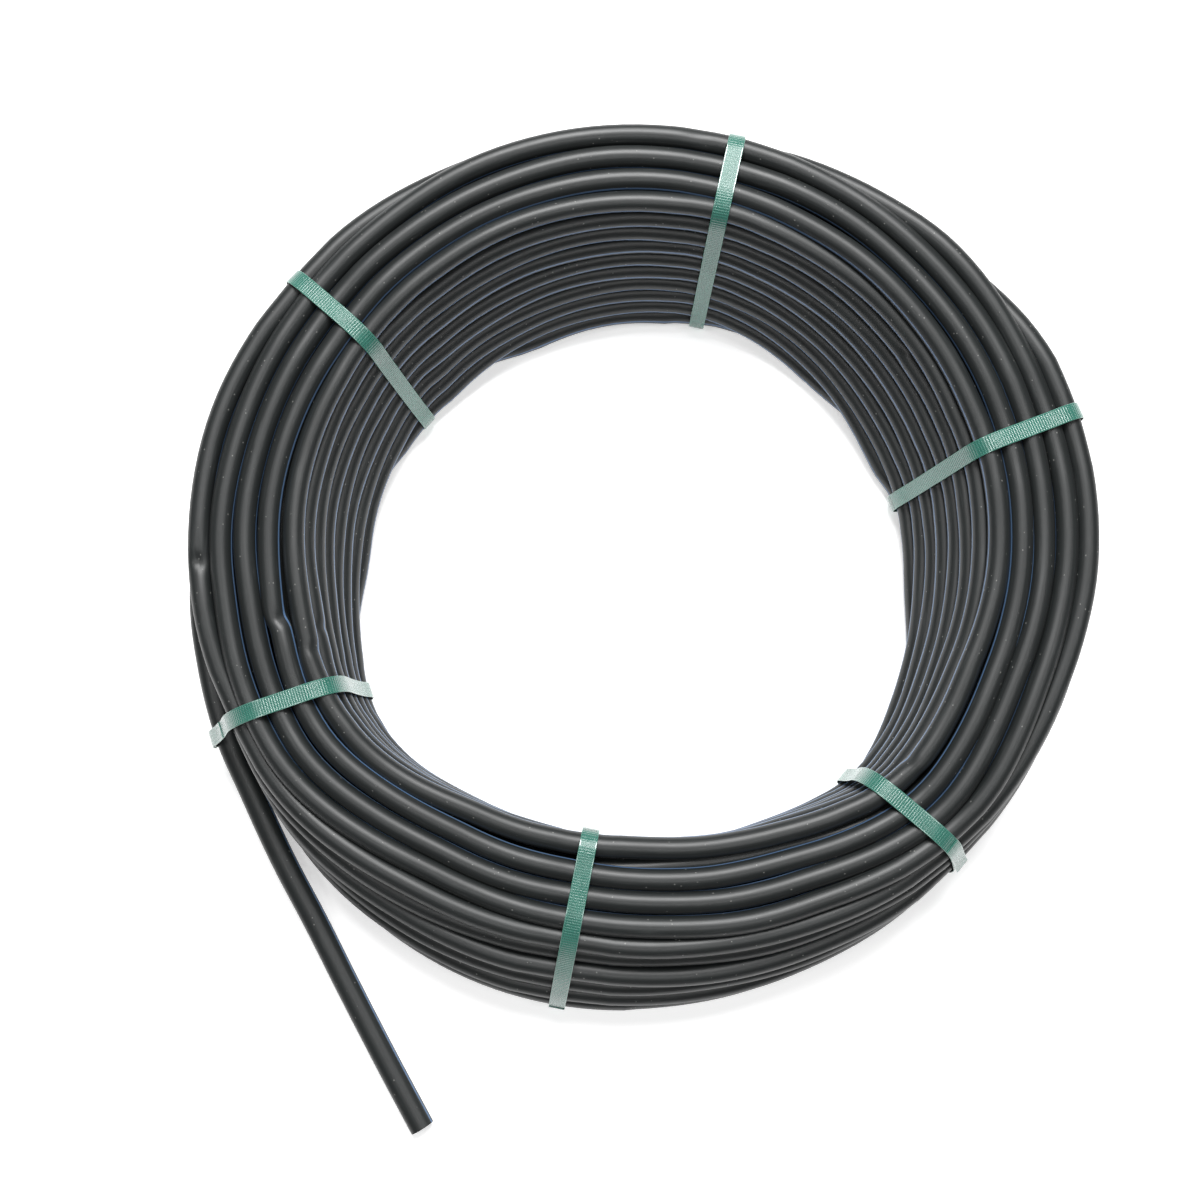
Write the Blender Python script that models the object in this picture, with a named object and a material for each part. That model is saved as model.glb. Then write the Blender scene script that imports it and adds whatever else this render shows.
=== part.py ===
"""A strapped coil of irrigation hose with one free end.

Metres, +Z up. The coil lies on z = 0 with its axis upright, and the origin is the middle of the floor
that the whole object covers. Azimuths are in degrees from +X, counter-clockwise seen from above, which
is also the way that the hose runs towards its free end.
"""

import math

import bmesh
import bpy
from mathutils import Vector

# Driving dimensions
HOSE_DIAMETER = 0.016
COIL_CENTRE = (0.0050, 0.0308)

# The coil's section, in hose diameters. Each entry holds the mean, the part that follows the sine of the
# azimuth, the part that follows its cosine, and the part that follows the cosine of twice the azimuth, and
# may go on with swellings: (azimuth, degrees that it reaches either side, size).
HEIGHT = (7.6, 1.4, 0.0, 0.0)
INNER_TOP = (14.41, 2.72, 0.30, 0.47, (208.0, 28.0, 0.70), (322.0, 25.0, 0.65), (268.0, 36.0, -0.20))
INNER_BOTTOM = (
    12.78, 1.30, 0.0, 0.22, (74.0, 42.0, 0.68), (208.0, 40.0, 1.15), (322.0, 45.0, 1.10), (266.0, 44.0, 0.90)
)
OUTER_TOP = (19.15, 2.45, 0.0, 0.80, (60.0, 90.0, 0.22), (20.0, 35.0, 0.50), (102.0, 50.0, 0.26))
OUTER_BOTTOM = (19.10, -0.65, 0.0, 0.10, (292.0, 50.0, -0.50))
OUTER_BULGE = (0.55, -0.25, 0.0, 0.0, (178.0, 40.0, -0.45))
CORNER_RADIUS = 0.9  # how far a rounded corner of the section reaches, in hose diameters
CORNER_STEPS = 3
WALL_STEPS = 4
COIL_STEPS = 72

# Straps
STRAP_AZIMUTHS = {"a": 77.4, "b": 138.7, "c": 21.0, "d": 199.0, "e": 258.9, "f": 319.3}
STRAP_WIDTH = 0.012
STRAP_THICKNESS = 0.0009
STRAP_GAP = 0.0005
STRAP_CLEARANCE_AT_TAIL = 0.0008  # the free end passes its strap at a slant, so it gets more room
PINCH_DEPTH = 0.0018  # how far a strap draws the turns together
PINCH_FLAT = 2.3  # degrees either side of a strap that are drawn in fully
PINCH_END = 5.5  # degrees either side of a strap where the drawing in ends
WELD_START = 0.22  # where the welded lap lies on the outer wall, as a share of the wall's height
WELD_END = 0.62

# The free end: the last stretch of the hose, as azimuth, distance from the coil's axis and height of its
# middle while it lies on the coil, then as x, y and height from the coil's axis, all in hose diameters
TAIL_ON_COIL = ((168.0, 20.72, 3.30), (180.0, 20.62, 3.10), (190.0, 20.42, 2.85), (199.0, 20.35, 2.55))
TAIL_FREE = (
    (-18.14, -9.20, 2.05),
    (-16.74, -12.30, 1.40),
    (-15.16, -15.30, 0.86),
    (-13.52, -18.40, 0.58),
    (-11.72, -21.60, 0.505),
    (-9.96, -24.60, 0.505),
)
TAIL_POINT_SPACING = 2.0  # hose diameters

HOSE_COLOUR = (0.018, 0.020, 0.020, 1.0)
STRAP_COLOUR = (0.040, 0.230, 0.150, 1.0)


def round_section(entry, azimuth):
    """One of the section's measures at an azimuth, in metres."""
    mean, sine, cosine, double, *swellings = entry
    a = math.radians(azimuth)
    value = mean + sine * math.sin(a) + cosine * math.cos(a) + double * math.cos(2 * a)
    for middle, reach, size in swellings:
        value += size * eased(1 - apart(azimuth, middle) / reach)
    return value * HOSE_DIAMETER


def eased(t):
    """t kept within 0 and 1, with a soft start and a soft end."""
    t = min(1.0, max(0.0, t))
    return t * t * (3 - 2 * t)


def corner(before, at, after):
    """Points along a rounded corner of the section, from the side of before to the side of after."""
    reach = CORNER_RADIUS * HOSE_DIAMETER
    start = at + (before - at).normalized() * reach
    end = at + (after - at).normalized() * reach
    points = []
    for i in range(CORNER_STEPS + 1):
        t = i / CORNER_STEPS
        points.append(start * (1 - t) ** 2 + at * 2 * t * (1 - t) + end * t**2)
    return points


def section(azimuth):
    """The coil's section at an azimuth: (distance from the axis, height) points, counter-clockwise."""
    height = round_section(HEIGHT, azimuth)
    bulge = round_section(OUTER_BULGE, azimuth)
    inner_low = Vector((round_section(INNER_BOTTOM, azimuth), 0.0))
    outer_low = Vector((round_section(OUTER_BOTTOM, azimuth), 0.0))
    outer_high = Vector((round_section(OUTER_TOP, azimuth), height))
    inner_high = Vector((round_section(INNER_TOP, azimuth), height))
    wall = []
    for i in range(1, WALL_STEPS):
        t = i / WALL_STEPS
        out = Vector((4 * bulge * t * (1 - t), 0.0))
        wall.append(outer_low.lerp(outer_high, t) + out)
    points = corner(inner_high, inner_low, outer_low)
    points += corner(inner_low, outer_low, wall[0])
    points += wall
    points += corner(wall[-1], outer_high, inner_high)
    points += corner(outer_high, inner_high, inner_low)
    return points


def outwards(points):
    """The outward direction at each point of a counter-clockwise outline."""
    found = []
    for i, point in enumerate(points):
        along = (points[(i + 1) % len(points)] - points[i - 1]).normalized()
        found.append(Vector((along.y, -along.x)))
    return found


def offset(points, distance):
    """A counter-clockwise outline moved outwards by a distance."""
    return [p + n * distance for p, n in zip(points, outwards(points), strict=True)]


def hull(points):
    """The convex outline round 2-D points, counter-clockwise."""
    ordered = sorted((p.x, p.y) for p in points)

    def half(run):
        kept = []
        for p in run:
            while len(kept) > 1 and turn(kept[-2], kept[-1], p) <= 1e-9:
                kept.pop()
            kept.append(p)
        return kept[:-1]

    return [Vector(p) for p in half(ordered) + half(ordered[::-1])]


def turn(a, b, c):
    """Positive where the way from a over b to c turns left."""
    return (b[0] - a[0]) * (c[1] - a[1]) - (b[1] - a[1]) * (c[0] - a[0])


def from_coil(azimuth, distance, height, aside=0.0):
    """A point given by its azimuth, distance from the coil's axis and height, moved aside square to that."""
    a = math.radians(azimuth)
    x = COIL_CENTRE[0] + distance * math.cos(a) - aside * math.sin(a)
    y = COIL_CENTRE[1] + distance * math.sin(a) + aside * math.cos(a)
    return Vector((x, y, height))


def apart(a, b):
    """The angle between two azimuths, in degrees."""
    return abs((a - b + 180) % 360 - 180)


def nearest_strap(azimuth):
    """The azimuth of the strap nearest to an azimuth."""
    return min(STRAP_AZIMUTHS.values(), key=lambda a: apart(a, azimuth))


def pinch(azimuth):
    """How fully the straps draw the coil in at an azimuth, from 0 to 1."""
    return eased((PINCH_END - apart(azimuth, nearest_strap(azimuth))) / (PINCH_END - PINCH_FLAT))


def coil_azimuths():
    """The azimuths of the coil's sections: evenly spaced, with closer ones beside each strap."""
    near_strap = (PINCH_FLAT, (PINCH_FLAT + PINCH_END) / 2, PINCH_END)
    close = {(a + side * n) % 360 for a in STRAP_AZIMUTHS.values() for n in near_strap for side in (-1, 1)}
    even = {i * 360 / COIL_STEPS for i in range(COIL_STEPS)}
    clear = {e for e in even if apart(e, nearest_strap(e)) > PINCH_END + 1.5}
    return sorted(close | clear)


def material(name, colour, roughness, metallic=0.0):
    made = bpy.data.materials.new(name)
    made.use_nodes = True
    shader = made.node_tree.nodes["Principled BSDF"]
    shader.inputs["Base Color"].default_value = colour
    shader.inputs["Roughness"].default_value = roughness
    shader.inputs["Metallic"].default_value = metallic
    made.diffuse_color = colour
    return made


def closed_loft(name, rings, finish):
    """A solid through closed rings that follow one another round a loop."""
    mesh = bpy.data.meshes.new(name)
    shape = bmesh.new()
    rows = [[shape.verts.new(p) for p in ring] for ring in rings]
    count = len(rows[0])
    for i, row in enumerate(rows):
        following = rows[(i + 1) % len(rows)]
        for j in range(count):
            k = (j + 1) % count
            shape.faces.new((row[j], row[k], following[k], following[j]))
    bmesh.ops.recalc_face_normals(shape, faces=shape.faces)
    shape.to_mesh(mesh)
    shape.free()
    mesh.materials.append(finish)
    mesh.shade_smooth()
    mesh.set_sharp_from_angle(angle=math.radians(35))
    made = bpy.data.objects.new(name, mesh)
    bpy.context.collection.objects.link(made)
    return made


def make_coil(finish):
    rings = []
    for azimuth in coil_azimuths():
        under_strap = apart(azimuth, nearest_strap(azimuth)) < PINCH_FLAT + 0.01
        outline = section(nearest_strap(azimuth) if under_strap else azimuth)
        drawn_in = offset(outline, -PINCH_DEPTH * pinch(azimuth))
        rings.append([from_coil(azimuth, p.x, p.y) for p in drawn_in])
    return closed_loft("hose_coil", rings, finish)


def strap_outline(letter):
    """The line that a strap's inner side follows, as (distance, height) points."""
    azimuth = STRAP_AZIMUTHS[letter]
    turns = offset(section(azimuth), -PINCH_DEPTH)
    if letter == "d":
        turns += tail_circle()
    return offset(hull(turns), STRAP_GAP)


def tail_circle():
    """The outline of the free end where it passes under its strap."""
    _, distance, height = TAIL_ON_COIL[-1]
    radius = HOSE_DIAMETER / 2 + STRAP_CLEARANCE_AT_TAIL
    points = []
    for i in range(16):
        a = math.tau * i / 16
        x = distance * HOSE_DIAMETER + radius * math.cos(a)
        z = height * HOSE_DIAMETER + radius * math.sin(a)
        points.append(Vector((x, z)))
    return points


def make_strap(letter, finish):
    """A band round the coil's section, twice as thick where its ends lap and are welded."""
    azimuth = STRAP_AZIMUTHS[letter]
    inner = strap_outline(letter)
    top = max(p.y for p in inner)
    middle = sum(p.x for p in inner) / len(inner)
    rings = []
    for point, out in zip(inner, outwards(inner), strict=True):
        lapped = point.x > middle and WELD_START < point.y / top < WELD_END
        outer = point + out * STRAP_THICKNESS * (2 if lapped else 1)
        ring = []
        for p, side in ((point, -1), (outer, -1), (outer, 1), (point, 1)):
            ring.append(from_coil(azimuth, p.x, p.y, side * STRAP_WIDTH / 2))
        rings.append(ring)
    return closed_loft("strap_" + letter, rings, finish)


def smooth_line(route, spacing):
    """Points about a spacing apart along a smooth curve through the route's points."""
    ends = [route[0] * 2 - route[1], *route, route[-1] * 2 - route[-2]]
    fine = []
    for a, b, c, d in zip(ends, ends[1:], ends[2:], ends[3:]):
        for i in range(24):
            t = i / 24
            bend = (a * -1 + b * 3 - c * 3 + d) * t**3 + (a * 2 - b * 5 + c * 4 - d) * t**2
            fine.append((bend + (c - a) * t + b * 2) / 2)
    fine.append(route[-1])
    length = sum((q - p).length for p, q in zip(fine, fine[1:]))
    count = round(length / spacing)
    step = length / count
    kept = [fine[0]]
    along = 0.0
    for p, q in zip(fine, fine[1:]):
        along += (q - p).length
        if along >= step * len(kept) - 1e-9 and len(kept) < count:
            kept.append(q)
    kept.append(fine[-1])
    return kept


def make_free_end(finish):
    """The tube of the last stretch, from where it leaves the coil's side to its bare cut end."""
    scale = HOSE_DIAMETER
    route = [from_coil(a, r * scale, z * scale) for a, r, z in TAIL_ON_COIL]
    for x, y, z in TAIL_FREE:
        route.append(Vector((COIL_CENTRE[0] + x * scale, COIL_CENTRE[1] + y * scale, z * scale)))
    points = smooth_line(route, TAIL_POINT_SPACING * scale)
    line = bpy.data.curves.new("hose_free_end", "CURVE")
    line.dimensions = "3D"
    line.bevel_depth = HOSE_DIAMETER / 2
    line.bevel_resolution = 3
    line.use_fill_caps = True
    spline = line.splines.new("POLY")
    spline.points.add(len(points) - 1)
    for target, point in zip(spline.points, points, strict=True):
        target.co = (*point, 1.0)
    line.materials.append(finish)
    made = bpy.data.objects.new("hose_free_end", line)
    bpy.context.collection.objects.link(made)
    return made


def main():
    for old in list(bpy.data.objects):
        bpy.data.objects.remove(old)
    hose = material("hose_black", HOSE_COLOUR, 0.5)
    make_coil(hose)
    make_free_end(material("hose_end_black", HOSE_COLOUR, 0.5))
    for letter in STRAP_AZIMUTHS:
        make_strap(letter, material("strap_green_" + letter, STRAP_COLOUR, 0.35))


main()
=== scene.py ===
"""The looks of a strapped coil of irrigation hose with one free end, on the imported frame.

The hose is one swept tube of 35 turns. Twelve turns fill the coil's inside, and 23 lie side by side round the
outside of its section. Every turn moves on by one place, spread over most of its way round, with a small
sharper bend low on the inner wall. Azimuths are in degrees from +X, counter-clockwise seen from above.
Distances from the coil's axis and heights are in hose diameters, unless a comment says otherwise.
"""

import math

import bmesh
import bpy
import numpy as np
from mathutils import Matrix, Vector


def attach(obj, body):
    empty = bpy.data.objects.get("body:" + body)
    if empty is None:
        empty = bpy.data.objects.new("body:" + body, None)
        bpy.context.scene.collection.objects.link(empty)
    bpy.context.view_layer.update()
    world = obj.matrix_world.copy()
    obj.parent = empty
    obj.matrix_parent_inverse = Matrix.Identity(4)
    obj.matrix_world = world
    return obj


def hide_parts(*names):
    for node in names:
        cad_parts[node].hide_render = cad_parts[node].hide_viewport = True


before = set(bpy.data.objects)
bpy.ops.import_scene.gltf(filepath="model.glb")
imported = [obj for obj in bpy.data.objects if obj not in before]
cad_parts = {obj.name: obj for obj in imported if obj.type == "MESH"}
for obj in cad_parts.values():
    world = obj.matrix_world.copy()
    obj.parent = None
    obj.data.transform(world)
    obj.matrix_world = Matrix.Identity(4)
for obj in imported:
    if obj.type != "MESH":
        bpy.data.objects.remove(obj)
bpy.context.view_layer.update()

# The camera
CAMERA_TILT = math.radians(9.0)
CAMERA_AWAY = 0.832  # metres from the point that it looks at
CAMERA_TARGET = (-1.74, -1.0, 7.6)  # that point, from the foot of the coil's axis
CAMERA_LENS = 35.88  # mm, as the next
CAMERA_SENSOR = 36.0

# The coil's shape, as in the CAD model: mean, sine, cosine, cosine of the double azimuth, and swellings
# (azimuth, degrees that it reaches either side, size)
D = 0.016  # the hose's diameter, in metres
CENTRE = (0.0050, 0.0308)  # in metres
HEIGHT = (7.6, 1.4, 0.0, 0.0)
INNER_TOP = (14.41, 2.72, 0.30, 0.47, (208.0, 28.0, 0.70), (322.0, 25.0, 0.65), (268.0, 36.0, -0.20))
INNER_BOTTOM = (
    12.78, 1.30, 0.0, 0.22, (74.0, 42.0, 0.68), (208.0, 40.0, 1.15), (322.0, 45.0, 1.10), (266.0, 44.0, 0.90)
)
OUTER_TOP = (19.15, 2.45, 0.0, 0.80, (60.0, 90.0, 0.22), (20.0, 35.0, 0.50), (102.0, 50.0, 0.26))
OUTER_BOTTOM = (19.10, -0.65, 0.0, 0.10, (292.0, 50.0, -0.50))
OUTER_BULGE = (0.55, -0.25, 0.0, 0.0, (178.0, 40.0, -0.45))
STRAP_AZIMUTHS = {"a": 77.4, "b": 138.7, "c": 21.0, "d": 199.0, "e": 258.9, "f": 319.3}

# The free end: first beside the coil (azimuth, distance, height), then clear of it (x, y, height)
TAIL_ON_COIL = ((168.0, 20.72, 3.30), (180.0, 20.62, 3.10), (190.0, 20.42, 2.85), (199.0, 20.35, 2.55))
TAIL_FREE = (
    (-18.14, -9.20, 2.05),
    (-16.74, -12.30, 1.40),
    (-15.16, -15.30, 0.86),
    (-13.52, -18.40, 0.58),
    (-11.72, -21.60, 0.505),
    (-9.96, -24.60, 0.505),
)
TAIL_LEAVES = ((134.0, 0.25), (150.0, 0.65))  # azimuths, and how much of the way out it has gone there
TAIL_STEP = 0.009  # metres between its rings
FLATTER = 0.14  # how much wider and lower than round it is, at its cut end

# The turns inside the coil, in two columns
INSIDE_TURNS = 12
INSIDE_COLUMN = 6
INSIDE_FOOT = 1.45  # height of a column's lowest turn, and how far below the top its highest one is
INSIDE_SPACING = 1.02
INSIDE_WALL = 1.5  # from the middle of a turn to the coil's inner or outer face
INSIDE_RISE = (0.29, 0.25)  # how far in and up the top one comes, in the gap on the near side

# The turns on the skin. A place is 0 on the inner top edge, 1 to 4 along the top, then on down the outer
# slope, and -1, -2, -3 down the inner wall.
SKIN_TURNS = 23
TOP_SLOT = 14  # the turn of the skin that has place 0
TOP_PLACES = 4
LAST_PLACE = SKIN_TURNS - TOP_SLOT - 1
OUTER_ROW = 0.98  # spacing of the turns down the outer slope
SIDE_POINTS = 24  # on each of the four sides of the skin's line
OUTER_FOOT = 2 * SIDE_POINTS  # the point of the line at the foot of the outer slope
INNER_FOOT = 3 * SIDE_POINTS  # and the one at the foot of the inner wall
ROUNDING = 4  # passes that round the corners of the skin's line
LEAN_REACH = 0.25  # how far either side the skin's direction is taken from

# Moving on by one place: where, and how much of it in a short bend
CROSSING = 124.0  # azimuth where the turn on the inner top edge moves on
CROSSING_STEP = 1.2  # degrees by which each lower turn crosses later
SLOW_CROSSING = 250.0  # degrees over which most of it is spread
SHARP_CROSSING = 7.0  # degrees that the short bend takes
SHARP_SHARE = 0.26  # at most this much is in the short bend,
SHARP_ROWS = 6  # and that only this many rows down the inner wall
INSIDE_CROSSING = (145.0, 30.0, 0.4)  # azimuth, degrees and share for the turns inside

# Rings of the swept hose, in degrees of winding
START_AZIMUTH = 158.0
SKIN_FROM = 100.0  # azimuth where close rings start, just before the first turn on the skin
END_PAST = 9.0  # how far past its last crossing the winding goes
INSIDE_STEP = 6.0
SKIN_STEP = 2.0
DENT_STEP = 0.4
DENT_REACH = 2.0
DENT_CLEAR = 2.3
MM_PER_DEGREE = 5.3  # along the hose, at its mean distance from the axis

# The hose itself
SIDES = 20
STRIPE_HALF = math.radians(6.0)
WALL = 0.0011  # metres
BORE_DEPTHS = (0.0, 0.004, 0.012, 0.030)  # metres from the cut to the rings inside it
PRESSED = 0.7  # share of the missing room by which a turn is pressed flat, towards its neighbours
SPREAD = 0.4  # and by which it grows, square to them
DRAWN = 0.05  # how far the straps draw a turn in, and how much more so under the coil
DRAWN_UNDER = 0.06
LEAVING = 1.05  # how far the free end moves out for each place past the last one
SUNK = ((5.0, 0.34), (7.0, 0.12))  # turns of the near slope that lie back, and how far
SUNK_REACH = 0.9  # places either side of such a turn that lie back a little too
SUNK_SIDE = (272, 75)  # azimuth of the near side, and its reach

# Slow irregularities: size, and (period, weight) of each wave, in degrees of winding or in metres of hose
ASIDE_WAVE = (0.016, ((37.0, 1.0), (83.0, 1.2), (211.0, 1.0), (19.0, 0.5)))
OUT_WAVE = (0.022, ((29.0, 1.0), (61.0, 1.0), (173.0, 1.2)))
STRIPE_WAVE = (0.07, ((3.1, 1.0), (7.7, 1.0), (1.3, 0.4)))

# Dents in the hose: place, azimuth, direction round the hose in degrees (0 outwards, 90 up), depth in hose
# radii, length along the hose in millimetres, and how far the hose steps aside there
DENTS = (
    (4.0, 177.5, 100.0, 0.50, 5.0, 0.08),
    (1.0, 186.5, 125.0, 0.34, 5.0, -0.11),
    (0.0, 192.0, 140.0, 0.25, 5.0, 0.06),
    (-1.0, 188.0, 150.0, 0.22, 5.0, 0.04),
    (4.0, 84.5, 60.0, 0.12, 7.0, 0.03),
    (2.0, 83.0, 80.0, 0.12, 9.0, 0.0),
    (-2.0, 41.0, 140.0, 0.18, 5.0, 0.04),
    (0.0, 326.0, 150.0, 0.22, 5.0, 0.05),
)
STEP_LENGTH = 7.5  # millimetres over which the hose steps aside at a dent
STEP_FADES = 9.0  # degrees over which it comes back

# The straps, in metres
STRAP_WIDTH = 0.012
STRAP_THICKNESS = 0.0007
STRAP_EDGE = 0.00022  # the bevel along its edges
STRAP_STEP = 0.0022  # between its rings
STRAP_CLEAR = 0.0004  # from the hoses to the strap
STRAP_LOWEST = 0.0009  # height of the strap's inner face under the coil
BESIDE_STRAP = 0.005  # hoses this far beside a strap still hold it up
LOOSE = {"d": 0.0080, "f": 0.0070}  # how far two of the straps stand off the inner top edge
LOOSE_BEND = 0.020
# Where a strap's second layer lies up the outer wall, as shares of its height
LAPS = {
    "a": (0.30, 0.62), "b": (0.28, 0.62), "c": (0.25, 0.60),
    "d": (0.30, 0.66), "e": (0.02, 0.30), "f": (0.55, 0.95),
}
LAP_GAP = 0.00008
LAP_LIFT = 0.0022  # how far the loose end of the second layer stands off
LAP_OFFSET = 0.0007  # keeps the two layers' patterns apart

# The studio, in metres and watts: name, place, size and power of each light. All of them face the coil.
LIGHTS = (
    ("far", (0.05, 1.25, 2.0), 1.2, 84.0),
    ("left", (-1.05, -0.15, 2.2), 0.5, 7.0),
    ("right", (1.05, -0.15, 2.2), 0.5, 7.0),
    ("near", (0.1, -0.75, 2.3), 0.6, 9.0),
)
WORLD_LIGHT = 0.16
BACKDROP = 0.46  # how much brighter than that the backdrop looks to the camera
FLOOR_SIZE = 40.0
FLOOR_DROP = 0.0003
FLOOR_GLOW = 0.45

WHITE = (1.0, 1.0, 1.0, 1.0)
RANDOM = np.random.RandomState(11)


# ---- small helpers

def smooth(t):
    """Goes smoothly from 0 to 1 as t does."""
    t = np.clip(t, 0.0, 1.0)
    return t * t * (3 - 2 * t)


def bump(azimuth, middle, reach):
    """1 at an azimuth, and smoothly down to 0 at its reach either side."""
    off = (np.asarray(azimuth) - middle + 180) % 360 - 180
    return smooth(1 - np.abs(off) / reach)


def wave(x, size, waves):
    """Smooth irregular noise along the hose, with x in the unit of the waves' periods."""
    total = np.zeros_like(x)
    for period, weight in waves:
        total += weight * np.sin(2 * math.pi * (x / period + RANDOM.rand()))
    return size * total


def distances(points):
    """How far along a line each of its points is."""
    steps = np.linalg.norm(np.diff(points, axis=0), axis=1)
    return np.concatenate(([0.0], np.cumsum(steps)))


def settled(values, passes):
    """Values round a closed line, averaged with their neighbours a number of times."""
    for _ in range(passes):
        values = (np.roll(values, 1, axis=0) + 2 * values + np.roll(values, -1, axis=0)) / 4
    return values


def measure(entry, azimuth):
    """One of the coil's measures at azimuths in degrees."""
    mean, sine, cosine, double, *swellings = entry
    a = np.radians(azimuth)
    value = mean + sine * np.sin(a) + cosine * np.cos(a) + double * np.cos(2 * a)
    for middle, reach, size in swellings:
        value += size * bump(azimuth, middle, reach)
    return value


def from_coil(azimuth, distance, height):
    """A world point, from its place on the coil."""
    a = math.radians(azimuth)
    return (CENTRE[0] + distance * D * math.cos(a), CENTRE[1] + distance * D * math.sin(a), height * D)


def add_object(name, data):
    made = bpy.data.objects.new(name, data)
    bpy.context.scene.collection.objects.link(made)
    return made


# ---- the camera

def make_camera():
    """The photograph's view: 9 degrees off straight down, from 0.83 m."""
    data = bpy.data.cameras.new("camera")
    data.sensor_width = CAMERA_SENSOR
    data.lens = CAMERA_LENS
    data.clip_start = 0.05
    data.clip_end = 50.0
    camera = add_object("camera", data)
    x, y, z = CAMERA_TARGET
    back = CAMERA_AWAY * math.sin(CAMERA_TILT)
    up = CAMERA_AWAY * math.cos(CAMERA_TILT)
    camera.location = (CENTRE[0] + x * D, CENTRE[1] + y * D - back, z * D + up)
    camera.rotation_euler = (CAMERA_TILT, 0.0, 0.0)
    bpy.context.scene.camera = camera


# ---- the winding

def skin_line(azimuth):
    """The line through the middles of the skin's turns: (distance, height) points from the inner top edge,
    over the top, down the outside, under the coil and up the inner wall."""
    height = measure(HEIGHT, azimuth)
    inner_top = (measure(INNER_TOP, azimuth) + 0.5, height - 0.5)
    outer_top = (measure(OUTER_TOP, azimuth) - 0.5, height - 0.5)
    outer_bottom = (measure(OUTER_BOTTOM, azimuth) - 0.5, 0.5)
    inner_bottom = (measure(INNER_BOTTOM, azimuth) + 0.5, 0.5)
    bulge = measure(OUTER_BULGE, azimuth)
    points = []
    corners = (inner_top, outer_top, outer_bottom, inner_bottom, inner_top)
    for side, (a, b) in enumerate(zip(corners, corners[1:])):
        for i in range(SIDE_POINTS):
            t = i / SIDE_POINTS
            out = 4 * bulge * t * (1 - t) if side == 1 else 0.0
            points.append((a[0] + (b[0] - a[0]) * t + out, a[1] + (b[1] - a[1]) * t))
    points = settled(np.array(points), ROUNDING)
    return np.concatenate((points, points[:1]))


def skin_places(azimuth, place):
    """Middles of turns on the skin at one azimuth: distance, height, the skin's direction there, and the
    spacing of the turns."""
    line = skin_line(azimuth)
    along = distances(line)
    total = along[-1]
    inner = total - along[INNER_FOOT]
    # the spacing on the inner wall, next to the inner top edge and on the rest of the top
    sine = math.sin(math.radians(azimuth))
    lift = 0.60 * bump(azimuth, 92, 70) + 0.20 * bump(azimuth, 178, 45)
    row = 0.945 - 0.017 * sine - 0.07 * bump(azimuth, 92, 80)
    first = 1.0 + 0.17 * max(0.0, sine) ** 2
    first = first + 0.42 * bump(azimuth, 285, 75) + 0.05 * bump(azimuth, 178, 60)
    flat = 1.0 + 0.09 * bump(azimuth, 178, 60) + 0.05 * bump(azimuth, 92, 60)
    # how many turns the inner wall and the outer slope hold, and the spacing of those left, under the coil
    rows = (inner + lift) / row
    fourth = lift + first + 3.0 * flat
    slope = (along[OUTER_FOOT] - fourth) / OUTER_ROW
    room = total - inner - along[OUTER_FOOT]
    below = room / (SKIN_TURNS - TOP_PLACES - rows - slope)
    # how far along the line each turn is, from the inner top edge outwards
    place = np.asarray(place, float)
    s = np.where(place <= 0, lift + place * row, 0.0)
    s = np.where(place < -rows, -inner + (place + rows) * below, s)
    s = np.where((place > 0) & (place <= 1), lift + place * first, s)
    s = np.where((place > 1) & (place <= TOP_PLACES), lift + first + (place - 1) * flat, s)
    s = np.where(place > TOP_PLACES, fourth + (place - TOP_PLACES) * OUTER_ROW, s)
    past_slope = place - TOP_PLACES - slope
    s = np.where(past_slope > 0, along[OUTER_FOOT] + past_slope * below, s)
    s = s % total
    on_wall = (place < 0) & (place > -rows)
    gap = np.where(on_wall, row, np.where(place > TOP_PLACES, OUTER_ROW, 1.0))
    # where the turns have less room under the coil, every other one lies higher
    under = smooth((s - along[OUTER_FOOT] - 0.3) / 1.4) * smooth((along[INNER_FOOT] - 0.3 - s) / 1.4)
    higher = math.sqrt(max(0.0, 1.0 - min(1.0, below) ** 2))
    raised = 0.5 * (1 + np.cos(math.pi * place)) * higher * under
    r = np.interp(s, along, line[:, 0])
    z = np.interp(s, along, line[:, 1]) + raised
    ahead = (s + LEAN_REACH) % total
    behind = (s - LEAN_REACH) % total
    dr = np.interp(ahead, along, line[:, 0]) - np.interp(behind, along, line[:, 0])
    dz = np.interp(ahead, along, line[:, 1]) - np.interp(behind, along, line[:, 1])
    return r, z, np.arctan2(dz, dr), gap


def inside_places(azimuth, slot):
    """Middles of the turns inside the coil: up a column near the inner wall, then down one farther out."""
    height = measure(HEIGHT, azimuth)
    pitch = (height - 2 * INSIDE_FOOT) / (INSIDE_COLUMN - 1)
    sway = math.sqrt(max(0.0, INSIDE_SPACING**2 - pitch**2))
    near = bump(azimuth, 285, 70)  # where one of these turns rises into the gap beside the inner top edge

    def spot(i):
        up = i if i < INSIDE_COLUMN else INSIDE_TURNS - 1 - i
        z = INSIDE_FOOT + up * pitch
        share = (z - 0.5) / (height - 1)
        inner = measure(INNER_BOTTOM, azimuth) * (1 - share) + measure(INNER_TOP, azimuth) * share
        outer = measure(OUTER_BOTTOM, azimuth) * (1 - share) + measure(OUTER_TOP, azimuth) * share
        inner += INSIDE_WALL
        outer += 4 * measure(OUTER_BULGE, azimuth) * share * (1 - share) - INSIDE_WALL
        shift = sway if up % 2 else 0.0
        if i == INSIDE_COLUMN - 1:
            inward, upward = INSIDE_RISE
            return inner + shift - (inward + shift) * near, z + upward * near
        return (inner + shift, z) if i < INSIDE_COLUMN else (outer - shift, z)

    spots = np.array([spot(i) for i in range(INSIDE_TURNS)])
    number = np.arange(INSIDE_TURNS)
    return np.interp(slot, number, spots[:, 0]), np.interp(slot, number, spots[:, 1])


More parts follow.
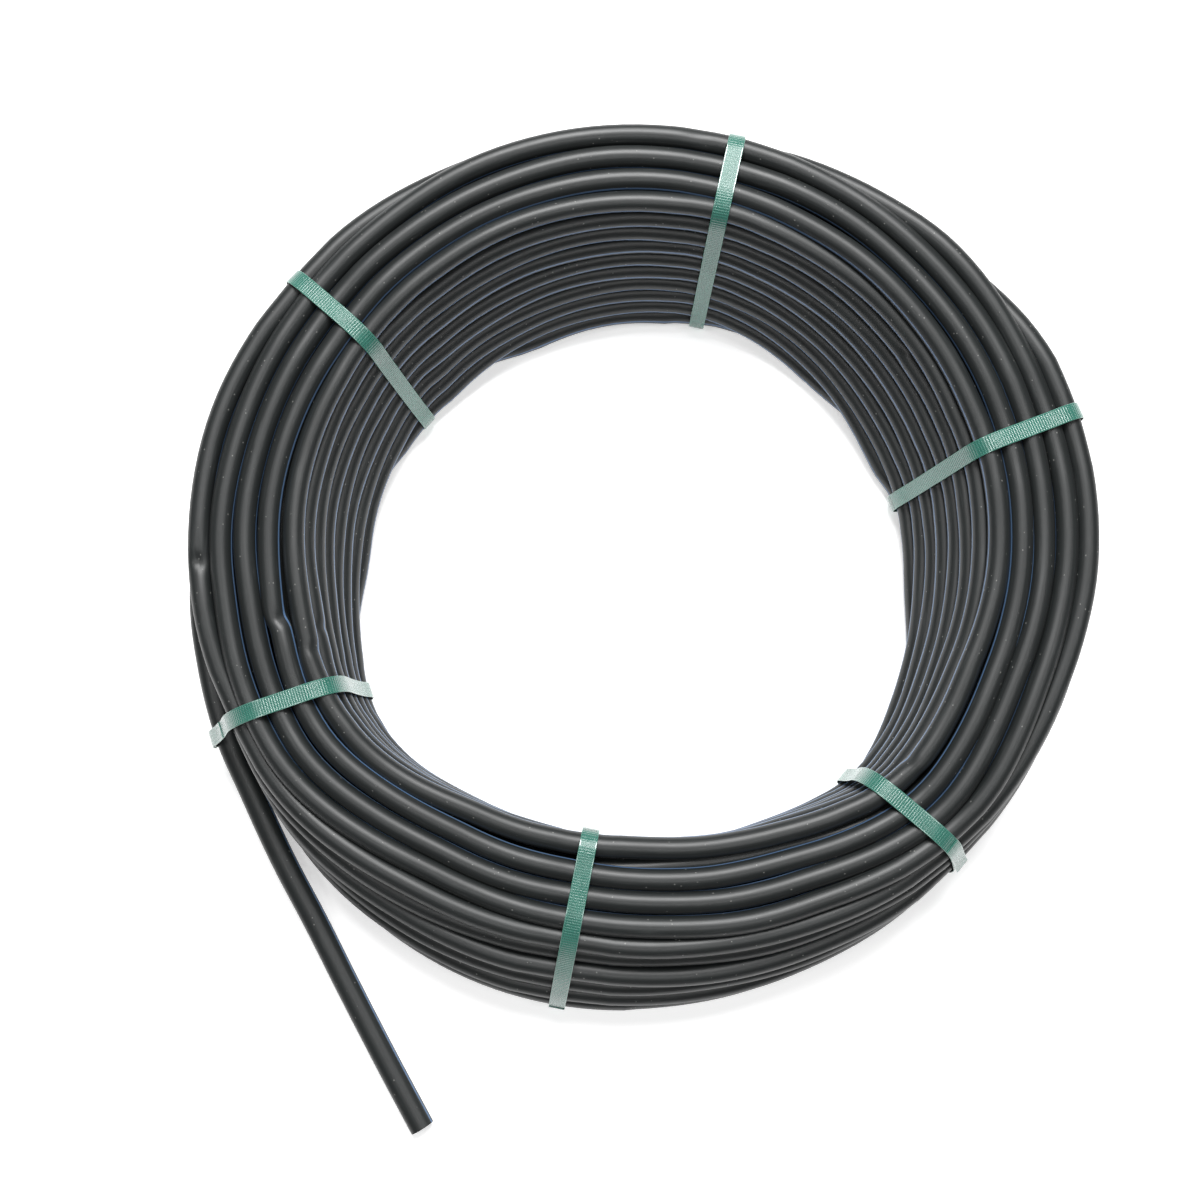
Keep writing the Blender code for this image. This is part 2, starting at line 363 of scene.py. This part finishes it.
def crossing_of(slot):
    """Where the turn in a slot moves on to the next: azimuth, the stretch of its short bend in degrees, and
    how much of the moving on is in that bend."""
    if slot < INSIDE_TURNS:
        return INSIDE_CROSSING
    place = slot - INSIDE_TURNS - TOP_SLOT
    share = SHARP_SHARE * min(1.0, max(0.0, -place / SHARP_ROWS))
    return CROSSING - CROSSING_STEP * place, SHARP_CROSSING, share


def slot_at(angle):
    """The slot, with fractions, along the whole winding. The angle grows by 360 a turn."""
    slot = np.zeros_like(angle)
    for k in range(INSIDE_TURNS + SKIN_TURNS):
        middle, width, share = crossing_of(k)
        past = angle - 360.0 * (k + 1) - middle
        sharp = smooth(past / width + 0.5)
        slow = smooth(past / SLOW_CROSSING + 0.5)
        slot += share * sharp + (1 - share) * slow
    return slot


def past_dent(angle, dent):
    """Degrees of winding from a dent to each of some counted-on azimuths."""
    place, azimuth = dent[:2]
    turns = INSIDE_TURNS + TOP_SLOT + place + (0 if azimuth > CROSSING else 1)
    return angle - (360.0 * turns + azimuth)


def dent_depth(angle, dent):
    """How deep a dent is at counted-on azimuths, from 0 to 1: a sharp fold with a shallow dip round it."""
    length = dent[4]
    off = past_dent(angle, dent) * MM_PER_DEGREE / length
    return 0.6 * np.exp(-(off**2)) + 0.4 * np.exp(-((off / 2.6) ** 2))


def dent_step(angle, dent):
    """How far the hose steps aside near a dent, at counted-on azimuths."""
    aside = dent[5]
    past = past_dent(angle, dent)
    return aside * (np.tanh(past * MM_PER_DEGREE / STEP_LENGTH) * np.exp(-((past / STEP_FADES) ** 2)))


def winding_angles():
    """The azimuths of the rings, counting on from turn to turn: wide steps inside, close ones on the skin
    and the closest ones at dents."""
    turns = INSIDE_TURNS + SKIN_TURNS
    skin = 360.0 * INSIDE_TURNS + SKIN_FROM
    last = 360.0 * turns + crossing_of(turns - 1)[0] + END_PAST
    inside = np.arange(START_AZIMUTH, skin, INSIDE_STEP)
    outside = np.arange(skin, last, SKIN_STEP)
    close = np.arange(-DENT_REACH, DENT_REACH + 0.1, DENT_STEP)
    for dent in DENTS:
        outside = outside[np.abs(past_dent(outside, dent)) > DENT_CLEAR]
        outside = np.sort(np.concatenate((outside, close - past_dent(0.0, dent))))
    return np.concatenate((inside, outside))


def sunk(place, azimuth):
    """How far some turns of the outer slope lie back, on the near side, which leaves dark gaps there."""
    deep = 0.0
    for middle, size in SUNK:
        deep += size * smooth(1.0 - abs(place - middle) / SUNK_REACH)
    return deep * bump(azimuth, *SUNK_SIDE)


def strap_pinch(azimuth):
    """How fully the straps draw the coil in at an azimuth: fully within 3.5 degrees of one, and not at all
    beyond 7.5 degrees."""
    nearest = min(abs((azimuth - a + 180) % 360 - 180) for a in STRAP_AZIMUTHS.values())
    return float(smooth((7.5 - nearest) / 4.0))


def wind():
    """The rings of the coil: world points of their middles, the skin's direction and the turns' spacing
    there, their places, and their counted-on azimuths."""
    angle = winding_angles()
    slots = slot_at(angle)
    places = slots - INSIDE_TURNS - TOP_SLOT
    aside = wave(angle, *ASIDE_WAVE)
    out = wave(angle, *OUT_WAVE)
    for dent in DENTS:
        aside += dent_step(angle, dent)
    points = []
    turned = []
    squeezed = []
    for i, (a, slot, place) in enumerate(zip(angle, slots, places)):
        azimuth = a % 360
        if slot <= INSIDE_TURNS - 1:
            r, z = inside_places(azimuth, slot)
            lean = 0.0
            gap = 1.0
        elif slot < INSIDE_TURNS:
            # from the last place inside to the first one on the skin
            share = slot - (INSIDE_TURNS - 1)
            r0, z0 = inside_places(azimuth, INSIDE_TURNS - 1)
            r1, z1, lean, gap = skin_places(azimuth, -TOP_SLOT)
            r = r0 + (r1 - r0) * share
            z = z0 + (z1 - z0) * share
        else:
            r, z, lean, gap = skin_places(azimuth, min(place, LAST_PLACE) + aside[i])
            normal = (-math.sin(lean), math.cos(lean))
            drawn = DRAWN + DRAWN_UNDER * max(0.0, -normal[1])
            push = out[i] - drawn * strap_pinch(azimuth) - sunk(place, azimuth)
            push += LEAVING * max(0.0, place - LAST_PLACE)
            r = r + normal[0] * push
            z = max(z + normal[1] * push, 0.5)
        points.append(from_coil(azimuth, r, z))
        turned.append(lean)
        squeezed.append(min(1.0, float(gap)))
    return np.array(points), np.array(turned, float), np.array(squeezed), places, angle


# ---- the free end

def curve_through(route, spacing):
    """Points about a spacing apart on a smooth curve through a route."""
    route = [np.array(p, float) for p in route]
    ends = [route[0] * 2 - route[1], *route, route[-1] * 2 - route[-2]]
    steps = 24
    fine = []
    for a, b, c, d in zip(ends, ends[1:], ends[2:], ends[3:]):
        for i in range(steps):
            t = i / steps
            bend = (a * -1 + b * 3 - c * 3 + d) * t**3 + (a * 2 - b * 5 + c * 4 - d) * t**2
            fine.append((bend + (c - a) * t + b * 2) / 2)
    fine.append(route[-1])
    fine = np.array(fine)
    along = distances(fine)
    count = max(2, round(along[-1] / spacing))
    at = np.linspace(0.0, along[-1], count + 1)
    return np.stack([np.interp(at, along, fine[:, k]) for k in range(3)], axis=1)


def tail_route(before):
    """The free end, from the last ring of the winding to the cut end."""
    route = [before]
    start = math.hypot(before[0] - CENTRE[0], before[1] - CENTRE[1]) / D
    low = before[2] / D
    _, distance, height = TAIL_ON_COIL[0]
    for azimuth, share in TAIL_LEAVES:
        r = start + (distance - start) * share
        route.append(from_coil(azimuth, r, low + (height - low) * share))
    route += [from_coil(*spot) for spot in TAIL_ON_COIL]
    route += [(CENTRE[0] + x * D, CENTRE[1] + y * D, z * D) for x, y, z in TAIL_FREE]
    return curve_through(route, TAIL_STEP)


# ---- the swept hose

def ring_frames(points):
    """For each ring: the direction outwards from the coil's axis and the one upwards, square to the hose."""
    along = np.gradient(points, axis=0)
    along /= np.linalg.norm(along, axis=1)[:, None]
    out = points - np.array((CENTRE[0], CENTRE[1], 0.0))
    out[:, 2] = 0.0
    out -= along * np.sum(out * along, axis=1)[:, None]
    out /= np.linalg.norm(out, axis=1)[:, None]
    return out, np.cross(out, along)


def stripe_angles(places, angle, length):
    """Where the stripe is round the hose, in radians: towards the coil's axis, 4 degrees above level on the
    inner wall and 11 on top, but 5 below level on top at the far side. The free end goes on as the coil's
    last ring does."""
    tail = len(length) - len(angle)
    place = np.concatenate((places, np.full(tail, places[-1])))
    far = np.concatenate((np.clip(np.sin(np.radians(angle)), 0.0, 1.0), np.zeros(tail)))
    above = np.radians(4.0 + 7.0 * smooth((place + 3.0) / 4.0) - 16.0 * far * smooth(place))
    return math.pi - above + wave(length, *STRIPE_WAVE)


def pressed_radius(facing, spacing):
    """The hose's radius round a ring, by the angle from the direction of the neighbouring turns: it is
    pressed flat between them where they are less than a diameter away."""
    loss = 1 - spacing
    across = np.cos(facing) ** 2
    return D / 2 * (1 - PRESSED * loss * across + SPREAD * loss * (1 - across))


def end_rings(verts, coords):
    """The cut end: a narrow rim and a bore that goes in a few centimetres."""
    last = verts[-1]
    middle = last.mean(axis=0)
    along = middle - verts[-2].mean(axis=0)
    along /= np.linalg.norm(along)
    bore = 1 - WALL / (D / 2)
    for back in BORE_DEPTHS:
        verts.append(middle + (last - middle) * bore - along * back)
        coords.append(coords[-1].copy())


def tube_faces(count):
    """The faces of a closed tube of rings, and for each 1 on the stripe and 0 elsewhere."""
    faces = []
    marks = []
    for i in range(count - 1):
        for j in range(SIDES):
            k = (j + 1) % SIDES
            a = i * SIDES
            b = a + SIDES
            faces.append((a + j, b + j, b + k, a + k))
            marks.append(1 if j == 0 else 0)
    last = (count - 1) * SIDES
    faces.append(tuple(range(SIDES)))
    faces.append(tuple(range(last + SIDES - 1, last - 1, -1)))
    return faces, marks + [0, 0]


def make_hose():
    """The whole hose: its object, the points that it follows and its length."""
    coil, turned, squeezed, places, angle = wind()
    tail = tail_route(coil[-1])[1:]
    points = np.concatenate((coil, tail))
    turned = np.concatenate((turned, np.full(len(tail), turned[-1])))
    squeezed = np.concatenate((squeezed, np.ones(len(tail))))
    length = distances(points)
    out, up = ring_frames(points)
    stripe = stripe_angles(places, angle, length)
    # the first two corners of a ring are the stripe's edges
    rest = np.linspace(STRIPE_HALF, 2 * math.pi - STRIPE_HALF, SIDES)[1:-1]
    offsets = np.concatenate(((-STRIPE_HALF, STRIPE_HALF), rest))
    # the free end is pressed a little flat, more so towards its cut end
    flatter = np.concatenate((np.zeros(len(coil)), smooth(np.linspace(0.0, 1.3, len(tail)))))
    points[:, 2] -= flatter * FLATTER * D / 2
    dents = [(math.radians(dent[2]), dent[3], dent_depth(angle, dent)) for dent in DENTS]
    verts = []
    coords = []
    for i, centre in enumerate(points):
        angles = stripe[i] + offsets
        radius = pressed_radius(angles - turned[i], squeezed[i])
        if i < len(coil):
            for towards, depth, share in dents:
                if share[i] > 0.01:
                    facing = np.clip(np.cos(angles - towards), 0.0, 1.0)
                    radius *= 1 - depth * share[i] * facing**3
        wide = 1 + FLATTER * flatter[i]
        high = 1 - FLATTER * flatter[i]
        ring = centre + (wide * radius * np.cos(angles))[:, None] * out[i]
        ring += (high * radius * np.sin(angles))[:, None] * up[i]
        verts.append(ring)
        coords.append(np.stack((np.cos(offsets), np.sin(offsets), np.full(SIDES, length[i])), axis=1))
    end_rings(verts, coords)
    faces, marks = tube_faces(len(verts))
    mesh = bpy.data.meshes.new("hose")
    mesh.from_pydata(np.concatenate(verts).tolist(), [], faces)
    mesh.polygons.foreach_set("material_index", marks)
    # for the materials: two coordinates round the hose and one along it
    made = mesh.attributes.new("hose", "FLOAT_VECTOR", "POINT")
    made.data.foreach_set("vector", np.concatenate(coords).ravel())
    mesh.shade_smooth()
    mesh.set_sharp_from_angle(angle=math.radians(50))
    mesh.update()
    return add_object("hose", mesh), points, float(length[-1])


# ---- materials

class Nodes:
    """Builds a node material in short steps."""

    def __init__(self, name):
        self.material = bpy.data.materials.new(name)
        self.material.use_nodes = True
        self.tree = self.material.node_tree
        self.shader = self.tree.nodes["Principled BSDF"]

    def add(self, kind, **values):
        made = self.tree.nodes.new(kind)
        for key, value in values.items():
            if key in made.inputs:
                made.inputs[key].default_value = value
            else:
                setattr(made, key, value)
        return made

    def link(self, source, target):
        self.tree.links.new(source, target)

    def set(self, name, value):
        self.shader.inputs[name].default_value = value

    def coordinates(self, attribute_name, scale):
        """An attribute's vector, scaled."""
        source = self.add("ShaderNodeAttribute", attribute_name=attribute_name)
        scaled = self.add("ShaderNodeVectorMath", operation="MULTIPLY")
        scaled.inputs[1].default_value = scale
        self.link(source.outputs["Vector"], scaled.inputs[0])
        return scaled.outputs["Vector"]

    def noise(self, vector, scale, detail=3.0, roughness=0.55):
        made = self.add("ShaderNodeTexNoise", Scale=scale, Detail=detail, Roughness=roughness)
        self.link(vector, made.inputs["Vector"])
        return made.outputs["Fac"]

    def ramp(self, value, stops):
        made = self.add("ShaderNodeValToRGB")
        for element, (position, colour) in zip(made.color_ramp.elements, stops):
            element.position = position
            element.color = (*colour, 1.0)
        self.link(value, made.inputs["Fac"])
        return made.outputs["Color"]

    def math(self, operation, *values):
        made = self.add("ShaderNodeMath", operation=operation)
        for slot, value in zip(made.inputs, values):
            if isinstance(value, (int, float)):
                slot.default_value = value
            else:
                self.link(value, slot)
        return made.outputs["Value"]

    def tint(self, factor, base, colour):
        """A colour laid over a base colour, as far as a factor says."""
        made = self.add("ShaderNodeMix", data_type="RGBA")
        self.link(factor, made.inputs["Factor"])
        self.link(base, made.inputs[6])
        made.inputs[7].default_value = (*colour, 1.0)
        return made.outputs[2]

    def bump(self, height, distance, strength):
        made = self.add("ShaderNodeBump", Distance=distance, Strength=strength)
        self.link(height, made.inputs["Height"])
        self.link(made.outputs["Normal"], self.shader.inputs["Normal"])


def grey(value):
    return (value, value, value)


def hose_material(name, tones):
    """Smooth polyethylene in two tones: lengthwise streaks, faint scuffs and a few pale specks of dust."""
    n = Nodes(name)
    streaks = n.noise(n.coordinates("hose", (1.0, 1.0, 0.9)), 9.0, 4.0, 0.6)
    fine = n.noise(n.coordinates("hose", (6.0, 6.0, 14.0)), 7.0, 3.0, 0.6)
    patches = n.noise(n.coordinates("hose", (0.8, 0.8, 9.0)), 3.0, 4.0, 0.6)
    scuff = n.ramp(patches, ((0.56, grey(0.0)), (0.80, grey(0.35))))
    colour = n.tint(scuff, n.ramp(streaks, tones), (0.050, 0.054, 0.054))
    specks = n.add("ShaderNodeTexVoronoi", Scale=1.0, Randomness=1.0)
    n.link(n.coordinates("hose", (1.6, 1.6, 170.0)), specks.inputs["Vector"])
    chosen = n.math("LESS_THAN", specks.outputs["Distance"], 0.095)
    rare = n.noise(n.coordinates("hose", (0.5, 0.5, 8.0)), 4.0, 1.0)
    dusty = n.math("MULTIPLY", chosen, n.math("GREATER_THAN", rare, 0.50))
    colour = n.tint(n.math("MULTIPLY", dusty, 0.6), colour, (0.20, 0.20, 0.19))
    n.link(colour, n.shader.inputs["Base Color"])
    rough = n.math("MULTIPLY_ADD", fine, 0.12, 0.37)
    rough = n.math("MULTIPLY_ADD", scuff, 0.25, rough)
    n.link(rough, n.shader.inputs["Roughness"])
    n.set("Specular IOR Level", 0.50)
    n.bump(n.math("ADD", n.math("MULTIPLY", fine, 0.35), streaks), 0.00007, 0.6)
    return n.material


BLACK_TONES = ((0.30, (0.0068, 0.0083, 0.0084)), (0.72, (0.0138, 0.0165, 0.0166)))
BLUE_TONES = ((0.30, (0.055, 0.110, 0.210)), (0.70, (0.090, 0.155, 0.270)))

# The strap's embossing, in millimetres
DIAMOND = 2.3  # across a strap, from one to the next
DIAMOND_SLANT = 0.62  # how much shorter they are across than along
EMBOSSED_HALF = 5.3  # they end here on either side, and the painted highlight along the strap's sides starts at the next
PALE_EDGE = 5.75


def strap_material(name):
    """Embossed green strap: small raised diamonds, glossy, with a painted highlight on them and along its
    edges.
    """
    n = Nodes(name)
    split = n.add("ShaderNodeSeparateXYZ")
    n.link(n.coordinates("strap", (1.0, 1.0, 1.0)), split.inputs["Vector"])
    across, along = split.outputs["X"], split.outputs["Y"]
    from_middle = n.math("ABSOLUTE", across)
    ribs = []
    for slant in ("ADD", "SUBTRACT"):
        skew = n.math(slant, across, n.math("MULTIPLY", along, DIAMOND_SLANT))
        ribs.append(n.math("SINE", n.math("MULTIPLY", skew, 2 * math.pi / DIAMOND)))
    diamonds = n.math("MULTIPLY", *ribs)
    diamonds = n.math("MULTIPLY", diamonds, n.math("LESS_THAN", from_middle, EMBOSSED_HALF))
    tone = n.noise(n.coordinates("strap", (0.06, 0.02, 0.1)), 3.0, 3.0)
    base = n.ramp(tone, ((0.30, (0.010, 0.085, 0.062)), (0.70, (0.016, 0.115, 0.084))))
    # painted highlight: the outer strip along each side of the strap is tinted pale mint
    edge_highlight = n.math("MULTIPLY", n.math("GREATER_THAN", from_middle, PALE_EDGE), 0.55)
    colour = n.tint(edge_highlight, base, (0.16, 0.36, 0.28))
    # painted highlight and shade: the raised tops of the diamonds are tinted lighter green and their hollows
    # left darker
    colour = n.tint(n.math("MULTIPLY_ADD", diamonds, 0.28, 0.28), colour, (0.060, 0.230, 0.180))
    n.link(colour, n.shader.inputs["Base Color"])
    n.link(n.math("MULTIPLY_ADD", tone, 0.10, 0.16), n.shader.inputs["Roughness"])
    n.set("Specular IOR Level", 0.90)
    n.set("Sheen Weight", 0.08)
    n.set("Sheen Roughness", 0.4)
    n.set("Coat Weight", 0.35)
    n.set("Coat Roughness", 0.25)
    n.bump(diamonds, 0.00016, 1.0)
    return n.material


def floor_material():
    """Pale paper that glows a little, so that the shadow on it stays light."""
    n = Nodes("floor_paper")
    place = n.add("ShaderNodeTexCoord").outputs["Object"]
    paper = n.ramp(n.noise(place, 3.0), ((0.3, grey(0.86)), (0.7, grey(0.88))))
    n.link(paper, n.shader.inputs["Base Color"])
    n.set("Roughness", 0.9)
    n.set("Specular IOR Level", 0.1)
    n.set("Emission Color", WHITE)
    n.set("Emission Strength", FLOOR_GLOW)
    return n.material


# ---- the straps

def turns_left(a, b, c):
    """Above 0 where the way from a over b to c turns left."""
    return (b[0] - a[0]) * (c[1] - a[1]) - (b[1] - a[1]) * (c[0] - a[0])


def hull(points):
    """The convex outline round 2-D points, counter-clockwise."""
    ordered = sorted(map(tuple, points))

    def half(run):
        kept = []
        for p in run:
            while len(kept) > 1 and turns_left(kept[-2], kept[-1], p) <= 1e-12:
                kept.pop()
            kept.append(p)
        return kept[:-1]

    return np.array(half(ordered) + half(ordered[::-1]))


def around(outline, spacing):
    """A closed outline with points about a spacing apart."""
    closed = np.concatenate((outline, outline[:1]))
    along = distances(closed)
    count = round(along[-1] / spacing)
    at = np.linspace(0.0, along[-1], count, endpoint=False)
    return np.stack([np.interp(at, along, closed[:, k]) for k in range(2)], axis=1)


def outwards(line, closed=True):
    """The direction square to a line at each of its points."""
    if closed:
        along = np.roll(line, -1, axis=0) - np.roll(line, 1, axis=0)
    else:
        along = np.gradient(line, axis=0)
    along /= np.linalg.norm(along, axis=1)[:, None]
    return np.stack((along[:, 1], -along[:, 0]), axis=1)


def strap_line(letter, vertices):
    """The line of a strap round the hose, as (distance, height) in metres."""
    a = math.radians(STRAP_AZIMUTHS[letter])
    x = vertices[:, 0] - CENTRE[0]
    y = vertices[:, 1] - CENTRE[1]
    distance = x * math.cos(a) + y * math.sin(a)
    aside = y * math.cos(a) - x * math.sin(a)
    # the hose's vertices near the strap, on its own side of the coil
    near = (np.abs(aside) < STRAP_WIDTH / 2 + BESIDE_STRAP) & (distance > 0.1)
    under = np.stack((distance[near], vertices[near, 2]), axis=1)
    if letter in LOOSE:
        # the loop stands off the inner top edge in a wide bend
        corner = under[np.argmax(under[:, 1] - under[:, 0])]
        middle = corner + np.array((LOOSE_BEND - LOOSE[letter], 0.001 - LOOSE_BEND))
        t = np.linspace(0.5 * math.pi, 1.12 * math.pi, 24)
        loop = middle + LOOSE_BEND * np.stack((np.cos(t), np.sin(t)), axis=1)
        under = np.concatenate((under, loop))
    taut = around(hull(under), 0.0012)
    # the stiff strap bends less sharply than the hoses under it, so it stands off them where it turns
    line = settled(taut, 100)
    inside = np.sum((taut - line) * outwards(line), axis=1)
    need = settled(np.max([np.roll(inside, k) for k in range(-9, 10)], axis=0), 40)
    line = line + outwards(line) * (need + STRAP_CLEAR)[:, None]
    line[:, 1] = np.maximum(line[:, 1], STRAP_LOWEST)
    return around(line, STRAP_STEP)


def strap_profile():
    """The corners of a strap's section: across it, and up from the hoses."""
    half = STRAP_WIDTH / 2
    side = (
        (half - STRAP_EDGE, STRAP_THICKNESS),
        (half, STRAP_THICKNESS - STRAP_EDGE),
        (half, STRAP_EDGE),
        (half - STRAP_EDGE, 0.0),
    )
    return tuple((-aside, lift) for aside, lift in side[::-1]) + side


def band(shape, line, azimuth, closed, start=0.0):
    """Adds a flat band along a line to a mesh, and gives each vertex its place across and along, in mm."""
    rings = []
    profile = strap_profile()
    step = np.linalg.norm(line[1] - line[0])
    layer = shape.verts.layers.float_vector["strap"]
    a = math.radians(azimuth)
    for i, (point, normal) in enumerate(zip(line, outwards(line, closed))):
        ring = []
        for aside, lift in profile:
            r, z = point + normal * lift
            x = CENTRE[0] + r * math.cos(a) - aside * math.sin(a)
            y = CENTRE[1] + r * math.sin(a) + aside * math.cos(a)
            vertex = shape.verts.new((x, y, z))
            vertex[layer] = (aside * 1000, (start + i * step) * 1000, lift * 1000)
            ring.append(vertex)
        rings.append(ring)
    pairs = list(zip(rings, rings[1:]))
    if closed:
        pairs.append((rings[-1], rings[0]))
    for one, two in pairs:
        for j in range(len(profile)):
            k = (j + 1) % len(profile)
            shape.faces.new((one[j], one[k], two[k], two[j]))
    if not closed:
        shape.faces.new(rings[0])
        shape.faces.new(rings[-1][::-1])


def make_strap(letter, vertices, finish):
    """A strap round the coil, with its second layer on the outer wall, where it is welded to itself."""
    azimuth = STRAP_AZIMUTHS[letter]
    line = strap_line(letter, vertices)
    shape = bmesh.new()
    shape.verts.layers.float_vector.new("strap")
    band(shape, line, azimuth, True)
    low, high = LAPS[letter]
    top = line[:, 1].max()
    outer = line[:, 0] > line[:, 0].mean()
    index = np.flatnonzero(outer & (line[:, 1] > low * top) & (line[:, 1] < high * top))
    lift = np.linspace(1.0, 0.0, len(index)) ** 4 * LAP_LIFT
    lap = line[index] + outwards(line)[index] * (STRAP_THICKNESS + LAP_GAP)
    lap = lap + outwards(line)[index] * lift[:, None]
    band(shape, lap, azimuth, False, index[0] * STRAP_STEP + LAP_OFFSET)
    bmesh.ops.recalc_face_normals(shape, faces=shape.faces)
    mesh = bpy.data.meshes.new("green_strap_" + letter)
    shape.to_mesh(mesh)
    shape.free()
    mesh.materials.append(finish)
    mesh.shade_smooth()
    mesh.set_sharp_from_angle(angle=math.radians(30))
    made = add_object("green_strap_" + letter, mesh)
    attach(made, "root")
    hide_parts("strap_" + letter)


# ---- the studio

def make_floor():
    bpy.ops.mesh.primitive_plane_add(size=FLOOR_SIZE, location=(0.0, 0.0, -FLOOR_DROP))
    floor = bpy.context.object
    floor.name = "floor"
    floor.data.materials.append(floor_material())


def make_lights():
    for name, place, size, power in LIGHTS:
        data = bpy.data.lights.new(name, "AREA")
        data.shape = "DISK"
        data.size = size
        data.energy = power
        made = add_object(name, data)
        made.location = place
        made.rotation_euler = (-Vector(place)).to_track_quat("-Z", "Y").to_euler()


def make_world():
    """A pale backdrop to look at, which lights the scene only faintly."""
    world = bpy.data.worlds.new("studio")
    world.use_nodes = True
    tree = world.node_tree
    background = tree.nodes["Background"]
    background.inputs["Color"].default_value = WHITE
    strength = tree.nodes.new("ShaderNodeMath")
    strength.operation = "MULTIPLY_ADD"
    strength.inputs[1].default_value = BACKDROP
    strength.inputs[2].default_value = WORLD_LIGHT
    rays = tree.nodes.new("ShaderNodeLightPath")
    tree.links.new(rays.outputs["Is Camera Ray"], strength.inputs[0])
    tree.links.new(strength.outputs["Value"], background.inputs["Strength"])
    bpy.context.scene.world = world


# ---- making it all

make_camera()
hose, hose_path, hose_length = make_hose()
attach(hose, "root")
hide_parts("hose_coil", "hose_free_end")
hose.data.materials.append(hose_material("hose_black_plastic", BLACK_TONES))
hose.data.materials.append(hose_material("hose_blue_stripe", BLUE_TONES))

hose_vertices = np.empty(len(hose.data.vertices) * 3)
hose.data.vertices.foreach_get("co", hose_vertices)
green = strap_material("strap_green_plastic")
for letter in STRAP_AZIMUTHS:
    make_strap(letter, hose_vertices.reshape(-1, 3), green)

make_floor()
make_world()
make_lights()
bpy.context.scene.view_settings.view_transform = "Standard"
